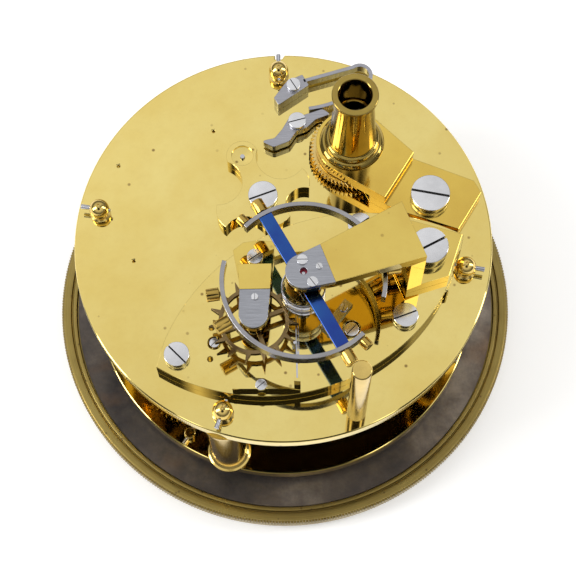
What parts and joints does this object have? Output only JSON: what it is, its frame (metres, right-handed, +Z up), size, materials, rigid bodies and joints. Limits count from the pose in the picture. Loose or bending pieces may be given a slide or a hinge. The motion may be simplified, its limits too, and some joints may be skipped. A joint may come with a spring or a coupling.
{
  "type": "marine chronometer",
  "caption": "Marine chronometer movement standing dial down in its brass bezel ring, with balance, spring detent, going-barrel train and winding tube on the back plate.",
  "frame": {"origin": "centre of the face that the bezel ring rests on", "axes": "+Z up from the bezel through the plates towards the balance; +X towards the foot of the balance cock; +Y towards the click spring"},
  "size_m": [0.1, 0.1, 0.0707],
  "materials": {
    "case_brass": "satin, milled edge",
    "dial_brass": "tarnished",
    "plate_brass": "polished, lightly spotted",
    "turned_brass": "turned and polished",
    "wheel_brass": "fine grained",
    "steel": "polished",
    "screw_steel": "polished heads",
    "end_plate_steel": "fine brushed",
    "blued_steel": "heat blued",
    "jewel": "polished",
    "glass": "clear"
  },
  "bodies": {
    "case": {"bezel_ring": "case_brass", "bezel_glass": "glass", "glass_ring": "case_brass"},
    "movement": {"dial": "dial_brass", "dial_foot_pins": "steel", "pillar_plate": "plate_brass", "pillars": "turned_brass", "pillar_taper_pins": "steel", "top_plate": "plate_brass", "sub_plate": "plate_brass", "sub_plate_screws": "screw_steel", "winding_bridge": "plate_brass", "plate_screws": "screw_steel", "winding_tube": "turned_brass", "click_screws": "screw_steel", "click_spring": "steel", "train_cock": "plate_brass", "escape_cock": "plate_brass", "escape_end_plate": "end_plate_steel", "escapement_screws": "screw_steel", "detent_foot": "plate_brass", "balance_cock": "plate_brass", "balance_end_plate": "end_plate_steel", "balance_cock_screws": "screw_steel", "jewels": "jewel", "spring_stud": "steel", "resting_post": "turned_brass"},
    "barrel": {"barrel": "turned_brass", "barrel_cover": "turned_brass", "mainspring": "steel"},
    "winding": {"barrel_arbor": "steel", "ratchet_wheel": "steel"},
    "click": {"click": "steel"},
    "intermediate": {"intermediate_arbor": "steel", "intermediate_wheel": "wheel_brass"},
    "centre": {"centre_arbor": "steel", "centre_wheel": "wheel_brass", "cannon_pinion": "turned_brass", "minute_hand": "blued_steel"},
    "third": {"third_arbor": "steel", "third_wheel": "wheel_brass"},
    "fourth": {"fourth_arbor": "steel", "fourth_wheel": "wheel_brass", "seconds_hand": "blued_steel"},
    "escape": {"escape_arbor": "steel", "escape_wheel": "wheel_brass"},
    "detent": {"detent": "steel", "passing_spring": "steel"},
    "balance": {"balance_staff": "steel", "rollers": "steel", "balance_arm": "blued_steel", "balance_rims": "steel", "balance_weights": "turned_brass", "spring_collet": "turned_brass", "balance_spring": "steel"},
    "minute": {"minute_wheel": "wheel_brass"},
    "hour": {"hour_wheel": "wheel_brass", "hour_hand": "blued_steel"}
  },
  "joints": [
    {"name": "movement_lift", "type": "slide", "parent": "case", "child": "movement", "axis": [0, 0, 1], "range_m": [0, 0.06]},
    {"name": "fourth_spin", "type": "hinge", "parent": "movement", "child": "fourth", "pos_m": [-0.0195, -0.013, 0.03], "axis": [0, 0, 1], "continuous": true},
    {"name": "third_spin", "type": "hinge", "parent": "movement", "child": "third", "pos_m": [-0.017, 0.0021, 0.03], "axis": [0, 0, 1], "continuous": true},
    {"name": "centre_spin", "type": "hinge", "parent": "movement", "child": "centre", "pos_m": [0, 0, 0.03], "axis": [0, 0, 1], "continuous": true},
    {"name": "intermediate_spin", "type": "hinge", "parent": "movement", "child": "intermediate", "pos_m": [-0.008, 0.0176, 0.03], "axis": [0, 0, 1], "continuous": true},
    {"name": "barrel_spin", "type": "hinge", "parent": "movement", "child": "barrel", "pos_m": [0.0142, 0.0186, 0.022], "axis": [0, 0, 1], "continuous": true},
    {"name": "escape_spin", "type": "hinge", "parent": "movement", "child": "escape", "pos_m": [-0.0059, -0.0196, 0.03], "axis": [0, 0, 1], "continuous": true},
    {"name": "minute_wheel_spin", "type": "hinge", "parent": "movement", "child": "minute", "pos_m": [0.0096, 0, 0.008], "axis": [0, 0, 1], "continuous": true},
    {"name": "hour_spin", "type": "hinge", "parent": "movement", "child": "hour", "pos_m": [0, 0, 0.007], "axis": [0, 0, 1], "continuous": true},
    {"name": "winding_turn", "type": "hinge", "parent": "movement", "child": "winding", "pos_m": [0.0142, 0.0186, 0.045], "axis": [0, 0, 1], "continuous": true, "deforming": ["mainspring"]},
    {"name": "click_turn", "type": "hinge", "parent": "movement", "child": "click", "pos_m": [0.0033, 0.0249, 0.0448], "axis": [0, 0, 1], "range_deg": [0, 12], "stiffness_Nm_per_rad": 0.0005, "springref_deg": -2.86, "deforming": ["click_spring"]},
    {"name": "balance_turn", "type": "hinge", "parent": "movement", "child": "balance", "pos_m": [0.0037, -0.0151, 0.06], "axis": [0, 0, 1], "range_deg": [-220, 220], "stiffness_Nm_per_rad": 0.00012, "deforming": ["balance_spring"]},
    {"name": "detent_flex", "type": "hinge", "parent": "movement", "child": "detent", "pos_m": [0.0022, -0.031, 0.0481], "axis": [0, 0, 1], "range_deg": [-2, 0], "stiffness_Nm_per_rad": 0.0001, "springref_deg": 0.57}
  ],
  "couplings": [
    {"joint": "escape_spin", "follows": "fourth_spin", "ratio": -8},
    {"joint": "third_spin", "follows": "fourth_spin", "ratio": -0.13333},
    {"joint": "centre_spin", "follows": "fourth_spin", "ratio": 0.016667},
    {"joint": "intermediate_spin", "follows": "fourth_spin", "ratio": -0.0041667},
    {"joint": "barrel_spin", "follows": "fourth_spin", "ratio": 0.0010417},
    {"joint": "minute_wheel_spin", "follows": "fourth_spin", "ratio": -0.0055556},
    {"joint": "hour_spin", "follows": "fourth_spin", "ratio": 0.0013889}
  ]
}
